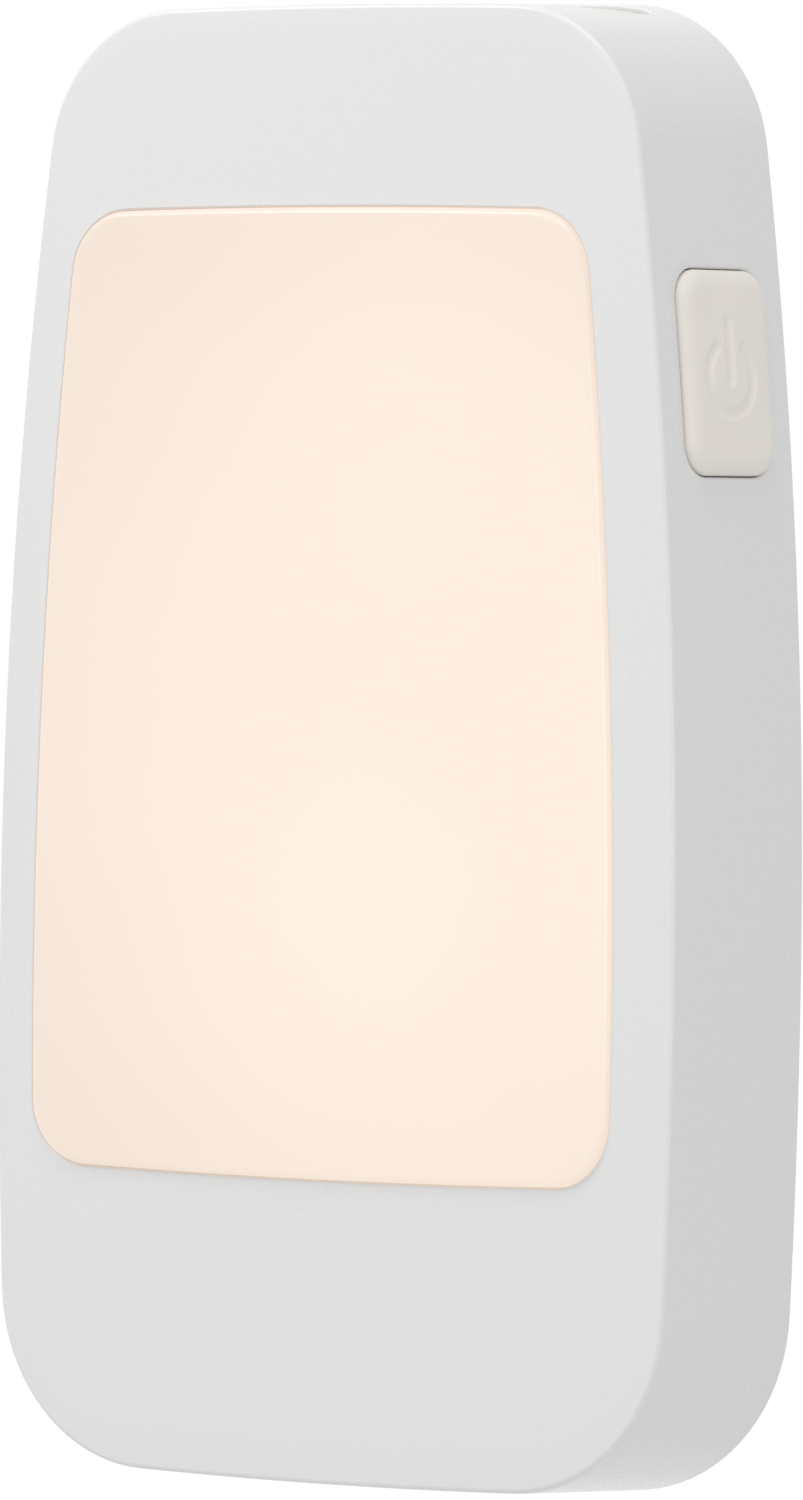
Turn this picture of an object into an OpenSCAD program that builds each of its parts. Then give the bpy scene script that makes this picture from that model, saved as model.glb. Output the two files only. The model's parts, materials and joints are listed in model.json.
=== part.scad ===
// Plug-in night light with a side power button, a torch window in its top and a folding plug.
// Millimetres. X is to the right as the lit front is seen, Z is up, and the front faces -Y.
// The origin is midway between the two blades, in the plane of the wall.

/* [Housing] */
// Height of the housing
body_h = 110; // [106:0.5:120]
// Width at the widest level, at the back edge
body_w = 62.6; // [60:0.1:70]
// Thickness from the wall to the front face
body_t = 15.8; // [15.6:0.1:20]
// Wall of the front shell
wall = 2; // [1.6:0.1:2.2]
// How much the sides lean in from back to front
draft = 0.55; // [0.2:0.05:1]
// Level of the widest place, below the middle
wide_below_mid = 14.5; // [8:0.5:20]
// Radius of the long side curve above the widest place
side_r_upper = 435; // [400:5:700]
// Radius of the long side curve below the widest place
side_r_lower = 615; // [400:5:900]
// Radius of the slight crown of the top and bottom edges
crown_r = 600; // [400:10:1500]
// Radius of the two top corners
corner_r_top = 12.2; // [10:0.1:14]
// Radius of the two bottom corners
corner_r_bottom = 14.1; // [11:0.1:15]
// Radius of the front edge
edge_r = 0.4; // [0.3:0.1:1.2]
// Thickness of the rear cover
cover_t = 2; // [1.6:0.1:2.2]
// Gap round the rear cover
cover_gap = 0.15; // [0.1:0.05:0.3]

/* [Diffuser] */
// Housing edge to diffuser at the top
diffuser_from_top = 15.4; // [15.2:0.1:18]
// Housing edge to diffuser at the bottom
diffuser_from_bottom = 22.9; // [22.7:0.1:26]
// Housing edge to diffuser at the widest place
diffuser_from_side = 5; // [4.8:0.1:7]
// Shift of the diffuser away from the button side
diffuser_shift = 1; // [0.8:0.1:1.4]
// Level of the diffuser's widest place, below the middle
diffuser_wide_below_mid = 18; // [12:0.5:22]
// Radius of the diffuser's long sides
diffuser_side_r = 490; // [450:5:600]
// Radius of the diffuser's slight top and bottom crown
diffuser_crown_r = 800; // [500:10:1500]
// Corner radius of the diffuser
diffuser_corner_r = 5; // [4:0.1:7]
// How far the diffuser stands proud of the front face
diffuser_proud = 0.5; // [0.2:0.1:0.8]
// Thickness of the diffuser's lit face
diffuser_t = 2; // [1.2:0.1:2.2]
// Thickness of the diffuser's flange
flange_t = 1; // [0.8:0.1:1.2]
// How far the flange reaches behind the front wall
flange_lap = 1.5; // [1.2:0.1:1.6]
// Gap round the diffuser and the torch lens
lens_gap = 0.1; // [0.05:0.05:0.2]

/* [Light tray] */
// Wall and floor of the white light tray
tray_wall = 0.8; // [0.6:0.1:1]
// Thickness of the two light boards
led_board_t = 0.8; // [0.6:0.1:1]
// Width of the night light's board
led_board_w = 16; // [14:0.5:20]
// Length of the night light's board
led_board_h = 56; // [50:1:60]
// Level of the upper night lamp above the middle
upper_led_z = 20; // [16:0.5:23]
// Level of the lower night lamp below the middle
lower_led_z = 10; // [6:0.5:16]
// Side of a square lamp chip
led_side = 3; // [2.4:0.1:3.6]
// Height of a lamp chip
led_t = 1.1; // [0.8:0.1:1.6]

/* [Power button] */
// Length of the button cap, up and down
button_h = 15; // [13:0.1:17]
// Width of the button cap, front to back
button_w = 10.4; // [9:0.1:10.8]
// Corner radius of the cap
button_corner_r = 2.3; // [1.5:0.1:3]
// Radius of the cap's edge
button_edge_r = 0.8; // [0.4:0.1:1]
// How far the cap stands proud of the side
button_proud = 0.8; // [0.6:0.1:1.2]
// Gap round the cap
button_gap = 0.25; // [0.15:0.05:0.4]
// Level of the button above the middle
button_z = 27.6; // [24:0.2:30]
// Centre of the button behind the front face
button_from_front = 8.1; // [7.4:0.1:8.3]
// Travel of the button
button_travel = 0.5; // [0.3:0.05:0.6]
// Diameter of the pictogram's ring
symbol_d = 6; // [4:0.1:7]
// How far the ring lies below the cap's centre
symbol_below = 0.35; // [0:0.05:0.6]
// How far the ring lies in front of the cap's centre
symbol_forward = 0.2; // [0:0.05:0.4]
// Stroke of the pictogram
symbol_stroke = 0.8; // [0.5:0.1:1]
// Depth of the pictogram
symbol_depth = 0.3; // [0.2:0.05:0.4]

/* [Torch] */
// Width of the torch window
torch_w = 38.6; // [32:0.2:39]
// Depth of the torch window, front to back
torch_d = 7.2; // [6.6:0.1:7.2]
// Centre of the torch window behind the front face
torch_from_front = 9.3; // [9:0.1:9.3]
// How far the lens lies below the top face
lens_recess = 0.2; // [0.1:0.05:0.4]
// Height of the torch reflector
torch_reflector_h = 5; // [4:0.1:5.2]

/* [Plug] */
// Level of the plug above the middle of the housing
plug_above_mid = 16; // [13:0.5:17]
// Length of the blades beyond the wall plane
blade_l = 16.5; // [15.9:0.1:18]
// Width of a blade
blade_w = 6.35; // [6.2:0.05:6.5]
// Thickness of a blade
blade_t = 1.52; // [1.4:0.02:1.65]
// Distance between the two blades
blade_pitch = 12.7; // [12.6:0.05:12.8]
// Diameter of the hole near a blade's tip
blade_hole_d = 3; // [2.8:0.1:3.4]
// Radius of the plug's barrel
barrel_r = 3.7; // [3.6:0.05:3.8]
// How deep the barrel's crest lies below the wall plane
barrel_sunk = 0.2; // [0.1:0.05:0.4]
// Radius of the two trunnions
trunnion_r = 1.7; // [1.4:0.05:1.75]
// Length of a trunnion
trunnion_l = 3; // [2:0.1:3.2]
// Running gap of the trunnions in the cradle
trunnion_gap = 0.05; // [0.02:0.01:0.08]
// Gap between the moving barrel and the cradle
bay_gap = 0.3; // [0.25:0.05:0.5]
// Side wall and floor of the cradle
cradle_wall = 1; // [0.8:0.1:1.1]
// Room below the folded tips for a fingertip
finger_room = 1.2; // [1:0.1:3]

/* [Boards and battery] */
// Thickness of the main board
board_t = 1.2; // [1:0.1:1.4]
// Height of the posts under the main board
post_h = 2; // [1.6:0.1:2.2]
// Distance of the main board's sides from the widest sides
board_from_side = 7; // [7:0.1:9]
// Diameter of a battery cell
cell_d = 10.2; // [9.8:0.1:10.3]
// Length of a battery cell
cell_l = 14.6; // [12:0.1:14.8]
// Distance between battery cells
cell_pitch = 10.5; // [10.4:0.1:11]
// Core diameter of the cover screws
screw_d = 2.5; // [2.2:0.1:2.8]
// Head diameter of the cover screws
screw_head_d = 4.6; // [4.2:0.1:5]
// Core diameter of the small screws on the boards and the cradle
small_screw_d = 1.6; // [1.4:0.1:1.8]
// Diameter of the leads inside
lead_d = 1.1; // [0.8:0.1:1.2]

/* [Hidden] */
$fn = 48;

// Small gap between fixed pieces that lie against each other, and overlap of cutters
seat_gap = 0.05;
eps = 0.01;
cut = 1;

// Levels through the thickness, all negative, from the wall plane to the front
y_front = -body_t;
y_front_in = y_front + wall;
y_cover_in = -cover_t;
y_flange_back = y_front_in + flange_t;
barrel_y = -barrel_sunk - barrel_r;
y_bay_floor = barrel_y - barrel_r - bay_gap;
y_cradle_back = y_bay_floor - cradle_wall;
y_led_board = y_cradle_back - seat_gap * 2;
y_tray_back = y_led_board - led_board_t;
y_tray_floor = y_tray_back - tray_wall;
y_board_back = y_cover_in - post_h;
y_board = y_board_back - board_t;

// Levels up the housing
mid_z = -plug_above_mid;
z_top = mid_z + body_h / 2;
z_bottom = mid_z - body_h / 2;
z_wide = mid_z - wide_below_mid;
draft_at_mid = draft / 2;

// Outline of the housing: half width, widest level, side radii, top, bottom, crown, corners
body_shape = [body_w / 2, z_wide, side_r_upper, side_r_lower, z_top, z_bottom, crown_r,
    corner_r_top, corner_r_bottom];
diffuser_top = z_top - diffuser_from_top;
diffuser_bottom = z_bottom + diffuser_from_bottom;
diffuser_shape = [body_w / 2 - diffuser_from_side, mid_z - diffuser_wide_below_mid,
    diffuser_side_r, diffuser_side_r, diffuser_top, diffuser_bottom, diffuser_crown_r,
    diffuser_corner_r, diffuser_corner_r];
tray_lap = 1;

// Screws of the rear cover
boss_r = 3;
boss_from_side_top = 10.5;
boss_from_side_bottom = 9.3;
boss_x_top = body_w / 2 - boss_from_side_top;
boss_x_bottom = body_w / 2 - boss_from_side_bottom;
boss_from_end = 10.6;
cover_screw_at = [[-boss_x_top, z_top - boss_from_end], [boss_x_top, z_top - boss_from_end],
    [-boss_x_bottom, z_bottom + boss_from_end], [boss_x_bottom, z_bottom + boss_from_end]];
screw_head_t = 1.1;
screw_l = 9;
screw_gap = 0.05;
head_gap = 0.25;
screw_slot_w = 0.5;

// Plug bay, between the cradle and a window in the rear cover
barrel_rim = 1.2;
detent_w = 5;
detent_t = 0.3;
detent_flat = 0.4;
blade_reach = blade_l - barrel_y;
barrel_half_l = blade_pitch / 2 + blade_t / 2 + barrel_rim;
bay_x = barrel_half_l + bay_gap;
bay_top = barrel_r + bay_gap * 2 + detent_t;
bay_bottom = -blade_reach - finger_room;
cheek_x = bay_x + trunnion_l;
tab_h = 4;
tab_t = 1.2;
cradle_screw_x = 5;
cradle_screw_at = [for (x = [-cradle_screw_x, cradle_screw_x],
        z = [bay_bottom - cradle_wall - tab_h / 2, bay_top + cradle_wall + tab_h / 2]) [x, z]];
contact_w = 2.6;
contact_t = 0.3;
contact_foot = 3;

// Blade outline: cut corners at the tip, and the neck and tail inside the barrel
blade_chamfer = 1.2;
blade_hole_from_tip = 4.2;
neck_l = 1.4;
tail_w = 3;
tail_sunk = 0.1;
tail_reach = sqrt(pow(barrel_r - tail_sunk, 2) - tail_w * tail_w / 4);

// Main board and what it carries
board_x = body_w / 2 - board_from_side;
board_below_tray_top = 2.3;
board_below_tray_bottom = 1.3;
board_top = diffuser_top - board_below_tray_top;
board_bottom = diffuser_bottom - board_below_tray_bottom;
board_hole_gap = 0.6;
cutout_x = cheek_x + board_hole_gap;
cutout_top = bay_top + cradle_wall + tab_h + board_hole_gap;
cutout_bottom = bay_bottom - cradle_wall - tab_h - board_hole_gap;
post_r = 2.2;
post_inset = 3.2;
small_head_d = small_screw_d + 2;
small_head_t = 1;
side_strip_x = (board_x + cutout_x) / 2;

// Parts on the main board: width, length and height, and the room between neighbours
part_gap = 1.5;
smoothing_r = 2;
smoothing_l = 11;
mains_size = [9, 12, 4];
rectifier_size = [4.7, 4, 1.6];
chip_size = [4, 5, 1.4];
chip_lift = 0.2;
chip_pin = [1.2, 0.45, 0.6];
chip_pin_pitch = 1.27;
header_size = [5, 2.5];
chip_row_drop = 6.4;
chip_row_z = cutout_bottom - chip_row_drop;
chip_x = 8;
header_x = -4;
coil_flange_r = 3.6;
coil_core_r = 2.6;
coil_flange_t = 0.8;
coil_h = 4;
coil_rise = 6;
coil_z = cutout_bottom + coil_flange_r + coil_rise;
fuse_r = 1.6;
fuse_l = 7;
fuse_lead_r = 0.4;
fuse_lead_l = 1.6;
smoothing_z = cutout_bottom;
mains_z = smoothing_z + smoothing_l + part_gap + mains_size[1] / 2;
fuse_z = mains_z + mains_size[1] / 2 + part_gap + fuse_lead_l;

// Light sensor and the phosphor on a lamp chip
sensor_r = 1.5;
sensor_inset = 2.5;
sensor_above_led = 5;
sensor_x = -led_board_w / 2 + sensor_inset;
sensor_z = mid_z + upper_led_z + sensor_above_led;
phosphor_t = 0.3;
phosphor_r = led_side / 2 - phosphor_t;

// Button mechanism, drawn in the frame of the side wall where the button sits
button_abs_z = mid_z + button_z;
button_rise = button_z + wide_below_mid;
button_tilt = asin(button_rise / side_r_upper);
button_y = y_front + button_from_front;
wall_face_x = body_w / 2 - side_r_upper * (1 - cos(button_tilt)) - draft * -button_y / body_t;
draft_angle = atan(draft / body_t);
cap_flange_t = 0.9;
cap_flange_lap = 1.2;
nub_l = 0.5;
nub_gap = 0.2;
switch_h = 6;
switch_t = 3.9;
switch_l = 3.6;
plunger_r = 1;
plunger_l = 1.5;
nub_rim = 0.5;
stem_inset = 0.2;
plunger_y = y_board - switch_t / 2 - button_y;
cap_flange_gap = 0.4;
flange_in_x = -wall - cap_flange_gap - cap_flange_t;
nub_x = flange_in_x - nub_l;
plunger_tip_x = nub_x - nub_gap;
switch_x = plunger_tip_x - plunger_l;
nub_r = plunger_r + nub_rim;
cap_low = max(-button_w / 2, y_front_in - button_y + bay_gap);
cap_high = min(button_w / 2, y_cover_in - button_y - bay_gap);

// Screws of the main board; the upper right one keeps clear of the switch
board_screw_low = board_bottom + post_inset;
board_screw_top = board_top - post_inset;
board_screw_x = board_x - post_inset;
switch_screw_x = wall_face_x + switch_x - switch_l - small_head_d / 2 - board_hole_gap;
board_screw_at = [[-board_screw_x, board_screw_low], [board_screw_x, board_screw_low],
    [-board_screw_x, board_screw_top], [switch_screw_x, board_screw_top]];

// Torch behind the top window
torch_y = y_front + torch_from_front;
torch_corner_r = 1.5;
lens_flange_lap = 0.8;
lens_flange_off = -wall - draft - seat_gap;
torch_hole_bottom = top_level(torch_w / 2, -wall - draft) - cut;
reflector_wall = 1;
torch_block_gap = 2.5;
torch_block_w = 2 * (boss_x_top - boss_r - torch_block_gap);
torch_block_d = torch_d + reflector_wall;
reflector_top = top_level(torch_block_w / 2, lens_flange_off - flange_t);
reflector_bottom = reflector_top - torch_reflector_h;
torch_board_bottom = reflector_bottom - led_board_t;
throat_room_w = 1.5;
throat_room_d = 0.75;
throat_w = led_side + 2 * throat_room_w;
throat_d = led_side + 2 * throat_room_d;
torch_rib_inset = 4;
torch_rib_x = torch_block_w / 2 - torch_rib_inset;
torch_rib_h = 2;
torch_lead_x = 2;
lead_lap = 3;

// Battery, foam pad and ribs
cell_gap = 0.3;
cell_y = y_cover_in - cell_gap - cell_d / 2;
cells_above_floor = 1.6;
cells_bottom = z_bottom + wall + cells_above_floor;
cells_top = cells_bottom + cell_l;
cell_nub_t = 0.6;
tab_strip_w = 4;
tab_strip_t = 0.25;
pad_w = cell_pitch * 2.8;
pad_inset = 1;
pad_gap = 0.1;
rib_t = 1.2;
rib_x = cell_pitch + cell_d / 2 + cell_gap;

// Level of the housing's top at x, for an outline moved outward by off
function top_level(x, off) = let (h = half_outline(body_shape, off)) lookup(x, [for (i = [0:12]) h[i]]);

// ---- Shapes that repeat ----

// Points along an arc
function arc(c, r, a0, a1, n) = [for (i = [0:n]) let (a = a0 + (a1 - a0) * i / n)
    c + r * [cos(a), sin(a)]];

// The crossing of two circles that lies further to the right
function meet(c0, r0, c1, r1) =
    let (d = norm(c1 - c0), a = (r0 * r0 - r1 * r1 + d * d) / (2 * d), h = sqrt(r0 * r0 - a * a),
        u = (c1 - c0) / d, p = c0 + a * u, n = [-u[1], u[0]])
    (p + h * n)[0] > (p - h * n)[0] ? p + h * n : p - h * n;

function angle_of(v) = atan2(v[1], v[0]);

// Right half of a soft rectangle: crown, corner, long side in two arcs, corner, crown
function half_outline(s, off) =
    let (up = [s[0] - s[2], s[1]], low = [s[0] - s[3], s[1]], top = [0, s[4] - s[6]],
        bottom = [0, s[5] + s[6]],
        c1 = meet(up, s[2] - s[7], top, s[6] - s[7]),
        c2 = meet(low, s[3] - s[8], bottom, s[6] - s[8]),
        a_top = angle_of(c1 - top), a_up = angle_of(c1 - up),
        a_low = angle_of(c2 - low), a_bottom = angle_of(c2 - bottom))
    concat(arc(top, s[6] + off, 90, a_top, 4), arc(c1, s[7] + off, a_top, a_up, 10),
        arc(up, s[2] + off, a_up, 0, 12), arc(low, s[3] + off, 0, a_low, 8),
        arc(c2, s[8] + off, a_low, a_bottom, 10), arc(bottom, s[6] + off, a_bottom, -90, 4));

// The half and its mirror image, without the points that the pieces share
function soft_outline(s, off) =
    let (h = half_outline(s, off), n = len(h),
        right = [for (i = [0:n - 1]) if (i == 0 || norm(h[i] - h[i - 1]) > eps) h[i]],
        m = len(right))
    concat(right, [for (i = [m - 2:-1:1]) [-right[i][0], right[i][1]]]);

// A flat shape drawn in X and Z, from y0 back to y1
module plate(y0, y1) {
    translate([0, y1, 0]) rotate([90, 0, 0]) linear_extrude(y1 - y0) children();
}

module body_plate(y0, y1, off) plate(y0, y1) polygon(soft_outline(body_shape, off));

module diffuser_plate(y0, y1, off) {
    translate([-diffuser_shift, 0, 0]) plate(y0, y1) polygon(soft_outline(diffuser_shape, off));
}

module rounded_rect(w, h, r) {
    square([w - 2 * r, h], center = true);
    square([w, h - 2 * r], center = true);
    for (x = [-1, 1], z = [-1, 1]) translate([x * (w / 2 - r), z * (h / 2 - r)]) circle(r);
}

// A block with its low corner at p
module block(p, size) translate(p) cube(size);

// A block centred in X and Z, standing on the plane y towards the front
module chip(x, z, y, w, h, t) block([x - w / 2, y - t, z - h / 2], [w, t, h]);

// A round rod along Y, from y0 back to y1
module rod(x, z, r, y0, y1) {
    translate([x, y1, z]) rotate([90, 0, 0]) cylinder(h = y1 - y0, r = r);
}

// A round rod along Z
module lead(x, y, r, z0, z1) translate([x, y, z0]) cylinder(h = z1 - z0, r = r);

// A screw whose head lies towards the wall when towards_wall is 1, and to the front when it is -1
module screw(x, z, y_head, head_r, head_t, core_r, l, towards_wall) {
    if (towards_wall > 0) {
        difference() {
            rod(x, z, head_r, y_head - head_t, y_head);
            for (a = [0, 90]) translate([x, y_head, z]) rotate([0, a, 0])
                cube([head_r * 1.2, head_t, screw_slot_w], center = true);
        }
        rod(x, z, core_r, y_head - head_t - l, y_head - head_t + eps);
    } else {
        rod(x, z, head_r, y_head, y_head + head_t);
        rod(x, z, core_r, y_head + head_t - eps, y_head + head_t + l);
    }
}

// ---- Housing ----

// The closed outer form, with a rounded front edge
module outer_form() {
    hull() {
        body_plate(-eps, 0, 0);
        for (a = [0:22.5:90]) body_plate(
            y_front + edge_r * (1 - cos(a)), y_front + edge_r * (1 - cos(a)) + eps,
            -draft - edge_r * (1 - sin(a)));
    }
}

module cavity() {
    hull() {
        body_plate(-eps, eps, -wall);
        body_plate(y_front_in, y_front_in + eps, -wall - draft);
    }
}

module button_hole() {
    side_frame() translate([-wall - cut, 0, 0]) rotate([90, 0, 90])
        linear_extrude(wall + cut * 2)
            rounded_rect(button_w + 2 * button_gap, button_h + 2 * button_gap,
                button_corner_r + button_gap);
}

module torch_hole() {
    translate([0, torch_y, torch_hole_bottom]) linear_extrude(z_top + cut - torch_hole_bottom)
        rounded_rect(torch_w, torch_d, torch_corner_r);
}

module front_shell() {
    color([0.9, 0.9, 0.89]) {
        difference() {
            outer_form();
            cavity();
            diffuser_plate(y_front - cut, y_front_in + cut, 0);
            button_hole();
            torch_hole();
        }
        for (p = cover_screw_at) difference() {
            rod(p[0], p[1], boss_r, y_front_in - eps, y_cover_in - seat_gap);
            rod(p[0], p[1], screw_d / 2 + screw_gap, y_cover_in - screw_l, y_cover_in + cut);
        }
    }
}

module rear_cover() {
    color([0.88, 0.88, 0.87]) {
        difference() {
            body_plate(y_cover_in, 0, -wall - cover_gap - draft * cover_t / body_t);
            plate(y_cover_in - cut, cut) bay_window();
            for (p = cover_screw_at) {
                rod(p[0], p[1], screw_d / 2 + head_gap, y_cover_in - cut, cut);
                rod(p[0], p[1], screw_head_d / 2 + head_gap, -screw_head_t - head_gap, cut);
            }
        }
        for (p = board_screw_at) difference() {
            rod(p[0], p[1], post_r, y_board_back, y_cover_in);
            rod(p[0], p[1], small_screw_d / 2 + screw_gap, y_board_back - cut, y_cover_in);
        }
        for (x = [-torch_rib_x, torch_rib_x])
            cover_rib(x, torch_y, torch_board_bottom - torch_rib_h - seat_gap, torch_rib_h);
        for (x = [-rib_x, rib_x]) cover_rib(x + sign(x) * rib_t / 2, cell_y, cells_bottom, cell_l);
    }
}

// A rib that stands on the inside of the cover: two carry the torch board, two hold the cells
module cover_rib(x, y, z, h) block([x - rib_t / 2, y, z], [rib_t, y_cover_in - y, h]);

// Window of the plug bay, seen from behind
module bay_window() {
    translate([0, (bay_top + bay_bottom) / 2])
        square([bay_x * 2, bay_top - bay_bottom], center = true);
}

module cover_screws() {
    color([0.7, 0.7, 0.72]) for (p = cover_screw_at)
        screw(p[0], p[1], -head_gap, screw_head_d / 2, screw_head_t, screw_d / 2, screw_l - 1, 1);
}

// ---- Night light ----

module diffuser() {
    color([0.99, 0.94, 0.88]) difference() {
        union() {
            hull() {
                diffuser_plate(y_front - diffuser_proud, y_front, -lens_gap - diffuser_proud);
                diffuser_plate(y_front, y_front + eps, -lens_gap);
            }
            diffuser_plate(y_front, y_flange_back, -lens_gap);
            intersection() {
                diffuser_plate(y_front_in + seat_gap, y_flange_back, flange_lap);
                body_plate(y_front_in + seat_gap, y_flange_back, -wall - draft - lens_gap);
            }
        }
        diffuser_plate(y_front - diffuser_proud + diffuser_t, y_flange_back + cut,
            -lens_gap - tray_lap);
    }
}

module reflector_tray() {
    color([0.96, 0.96, 0.95]) difference() {
        diffuser_plate(y_flange_back + seat_gap, y_tray_back, tray_lap);
        diffuser_plate(y_flange_back, y_tray_floor, tray_lap - tray_wall);
        for (z = [mid_z + upper_led_z, mid_z - lower_led_z])
            block([-led_side / 2 - bay_gap, y_tray_floor - cut, z - led_side / 2 - bay_gap],
                [led_side + 2 * bay_gap, tray_wall + cut * 2, led_side + 2 * bay_gap]);
        rod(sensor_x, sensor_z, sensor_r + bay_gap, y_tray_floor - cut, y_tray_back + cut);
    }
}

module led_board() {
    color([0.93, 0.94, 0.92]) chip(0, mid_z + (upper_led_z - lower_led_z) / 2,
        y_led_board, led_board_w, led_board_h, led_board_t - seat_gap);
}

module night_led(z) {
    y_seat = y_led_board - led_board_t + seat_gap;
    color([1, 0.86, 0.5]) {
        chip(0, z, y_seat, led_side, led_side, led_t);
        rod(0, z, phosphor_r, y_seat - led_t - phosphor_t, y_seat - led_t + eps);
    }
}

module night_led_upper() night_led(mid_z + upper_led_z);
module night_led_lower() night_led(mid_z - lower_led_z);

module light_sensor() {
    y_seat = y_led_board - led_board_t + seat_gap;
    color([0.25, 0.22, 0.3]) {
        rod(sensor_x, sensor_z, sensor_r, y_seat - led_t, y_seat);
        intersection() {
            translate([sensor_x, y_seat - led_t, sensor_z]) sphere(sensor_r);
            rod(sensor_x, sensor_z, sensor_r, y_seat - led_t - sensor_r, y_seat - led_t + eps);
        }
    }
}

// ---- Electronics ----

module main_board() {
    color([0.1, 0.42, 0.26]) difference() {
        block([-board_x, y_board, board_bottom], [board_x * 2, board_t, board_top - board_bottom]);
        block([-cutout_x, y_board - cut, cutout_bottom],
            [cutout_x * 2, board_t + cut * 2, cutout_top - cutout_bottom]);
        for (p = board_screw_at) rod(p[0], p[1], small_screw_d / 2 + head_gap, y_board - cut,
            y_board_back + cut);
    }
}

module board_screws() {
    color([0.7, 0.7, 0.72]) for (p = board_screw_at)
        screw(p[0], p[1], y_board - small_head_t, small_head_d / 2, small_head_t,
            small_screw_d / 2, board_t + post_h - seat_gap, -1);
}

// A box-shaped part on the main board
module board_part(x, z, size) chip(x, z, y_board, size[0], size[1], size[2]);

module mains_capacitor() {
    color([0.85, 0.7, 0.15]) board_part(-side_strip_x, mains_z, mains_size);
}

module smoothing_capacitor() {
    color([0.15, 0.17, 0.22]) lead(-side_strip_x, y_board - smoothing_r, smoothing_r,
        smoothing_z, smoothing_z + smoothing_l);
}

module rectifier() {
    color([0.12, 0.12, 0.13]) board_part(-side_strip_x, chip_row_z, rectifier_size);
}

module controller_chip() {
    color([0.12, 0.12, 0.13]) {
        chip(chip_x, chip_row_z, y_board - chip_lift, chip_size[0], chip_size[1], chip_size[2]);
        for (x = [-1, 1], i = [-1.5:1:1.5])
            board_part(chip_x + x * (chip_size[0] + 1) / 2, chip_row_z + i * chip_pin_pitch, chip_pin);
    }
}

module inductor() {
    color([0.25, 0.25, 0.26]) {
        rod(side_strip_x, coil_z, coil_flange_r, y_board - coil_flange_t, y_board);
        rod(side_strip_x, coil_z, coil_core_r, y_board - coil_h + coil_flange_t - eps,
            y_board - coil_flange_t + eps);
        rod(side_strip_x, coil_z, coil_flange_r, y_board - coil_h, y_board - coil_h + coil_flange_t);
    }
}

module fuse_resistor() {
    y = y_board - fuse_r;
    color([0.3, 0.55, 0.75]) {
        lead(-side_strip_x, y, fuse_r, fuse_z, fuse_z + fuse_l);
        lead(-side_strip_x, y, fuse_lead_r, fuse_z - fuse_lead_l, fuse_z + fuse_l + fuse_lead_l);
    }
}

module led_header() {
    color([0.1, 0.1, 0.1]) chip(header_x, chip_row_z, y_board, header_size[0], header_size[1],
        y_board - y_led_board - seat_gap);
}

module tact_switch() {
    color([0.12, 0.12, 0.13]) side_frame() difference() {
        block([switch_x - switch_l, plunger_y - switch_t / 2, -switch_h / 2],
            [switch_l, switch_t, switch_h]);
        translate([switch_x - button_travel - bay_gap, plunger_y, 0]) rotate([0, 90, 0])
            cylinder(h = switch_l, r = plunger_r + screw_gap);
    }
}

// Local frame of the button: origin on the side wall, +X straight out of it
module side_frame() {
    translate([wall_face_x, button_y, button_abs_z]) rotate([0, -button_tilt, 0]) children();
}

module switch_plunger() {
    color([0.85, 0.85, 0.83]) side_frame() translate([switch_x - bay_gap + eps, plunger_y, 0])
        rotate([0, 90, 0]) cylinder(h = plunger_l + bay_gap - eps, r = plunger_r);
}

module power_button() {
    color([0.87, 0.85, 0.81]) side_frame() {
        difference() {
            hull() for (a = [0:30:90]) cap_slice(button_proud - button_edge_r * (1 - sin(a)),
                -button_edge_r * (1 - cos(a)));
            translate([button_proud - symbol_depth, -symbol_forward, -symbol_below])
                rotate([90, 0, 90]) linear_extrude(symbol_depth + cut) power_symbol();
        }
        translate([flange_in_x, (cap_low + cap_high) / 2, 0]) rotate([90, 0, 90])
            linear_extrude(cap_flange_t + cap_flange_gap + symbol_depth)
                rounded_rect(cap_high - cap_low - 2 * stem_inset, button_h - 2 * stem_inset,
                    button_corner_r);
        block([flange_in_x, cap_low, -button_h / 2 - cap_flange_lap],
            [cap_flange_t, cap_high - cap_low, button_h + 2 * cap_flange_lap]);
        translate([nub_x, plunger_y, 0]) rotate([0, 90, 0])
            cylinder(h = nub_l + eps, r = nub_r);
    }
}

// One thin slice of the cap, leaning with the draft of the side
module cap_slice(x, grow) {
    translate([x, 0, 0]) rotate([0, 0, -draft_angle]) rotate([90, 0, 90]) linear_extrude(eps)
        rounded_rect(button_w + 2 * grow, button_h + 2 * grow, button_corner_r + grow);
    translate([-wall, 0, 0]) rotate([90, 0, 90]) linear_extrude(eps)
        rounded_rect(button_w, button_h, button_corner_r);
}

// The common on/off pictogram: an open ring with a bar in its gap
module power_symbol() {
    r = symbol_d / 2;
    bar_top = r * 1.42;
    bar_bottom = -r * 0.17;
    difference() {
        circle(r);
        circle(r - symbol_stroke);
        polygon([[0, 0], [-r, r * 1.6], [r, r * 1.6]]);
    }
    translate([-symbol_stroke / 2, bar_bottom]) square([symbol_stroke, bar_top - bar_bottom]);
}

// ---- Torch ----

// A curved strip under the top face, between two levels below it and inside a flat shape
module under_top(high, low) {
    intersection() {
        difference() {
            body_plate(y_front, 0, high);
            body_plate(y_front - cut, cut, low);
        }
        translate([0, torch_y, mid_z]) linear_extrude(body_h) children();
    }
}

// The lens follows the curve of the top, and so does its flange inside the wall
module flashlight_lens() {
    color([0.93, 0.92, 0.86]) {
        under_top(-draft_at_mid - lens_recess, lens_flange_off - flange_t)
            rounded_rect(torch_w - 2 * lens_gap, torch_d - 2 * lens_gap, torch_corner_r - lens_gap);
        under_top(lens_flange_off, lens_flange_off - flange_t)
            square([torch_w + 2 * lens_flange_lap, torch_d + 2 * lens_flange_lap], center = true);
    }
}

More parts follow.
